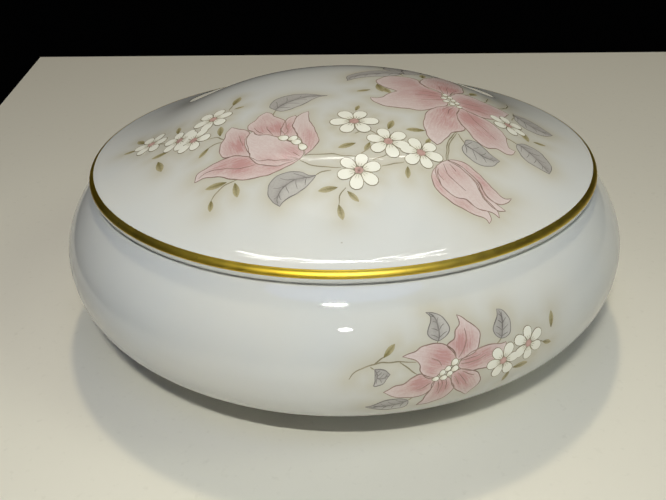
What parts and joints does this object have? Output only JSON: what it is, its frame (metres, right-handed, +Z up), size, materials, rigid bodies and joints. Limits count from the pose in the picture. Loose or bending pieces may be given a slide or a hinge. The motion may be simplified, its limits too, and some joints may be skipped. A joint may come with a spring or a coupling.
{
  "type": "trinket box",
  "caption": "Round squat porcelain trinket box with a domed lift-off lid and a gilt line round the lid's rim.",
  "frame": {"origin": "centre of the circle that the foot ring stands on, on the table", "axes": "+Z up along the axis of the bowl and the lid; -Y is the side with the printed spray nearest the viewer, +X to its right"},
  "size_m": [0.13, 0.13, 0.0537],
  "materials": {
    "bowl_porcelain": "glossy glaze",
    "lid_porcelain": "glossy glaze",
    "gilding": "polished fired gilding"
  },
  "bodies": {
    "bowl": {"bowl": "bowl_porcelain"},
    "lid": {"lid": "lid_porcelain", "gilt_band": "gilding"}
  },
  "joints": [
    {"name": "lid_lift", "type": "slide", "parent": "bowl", "child": "lid", "axis": [0, 0, 1], "range_m": [0, 0.06]}
  ]
}
